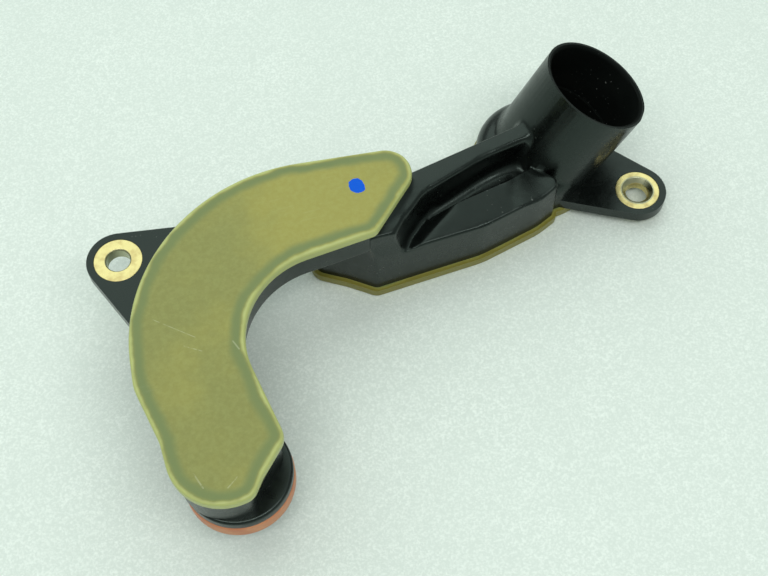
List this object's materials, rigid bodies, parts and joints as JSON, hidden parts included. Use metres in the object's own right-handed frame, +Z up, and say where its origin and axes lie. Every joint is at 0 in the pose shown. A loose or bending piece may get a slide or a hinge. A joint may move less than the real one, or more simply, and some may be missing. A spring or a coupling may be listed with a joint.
{
  "type": "transmission filter pipe",
  "caption": "Moulded oil duct in two stepped troughs with welded covers, bolt ears with brass bushings, a leaning round socket and a sealed spigot.",
  "frame": {"origin": "on the right bolt's axis, at the underside of the right ear and its bushing", "axes": "+Z up along both bolts, +X from the left bolt towards the right bolt, +Y away from the spigot"},
  "size_m": [0.1654, 0.1142, 0.0417],
  "materials": {
    "body_plastic": "semi-gloss, glass-filled",
    "cover_plastic": "satin, slightly translucent",
    "bushing_brass": "turned",
    "seal_rubber": "satin"
  },
  "bodies": {
    "root": {"pipe_body": "body_plastic", "upper_cover": "cover_plastic", "lower_cover": "cover_plastic", "left_bushing": "bushing_brass", "right_bushing": "bushing_brass", "spigot_seal": "seal_rubber"}
  },
  "joints": []
}
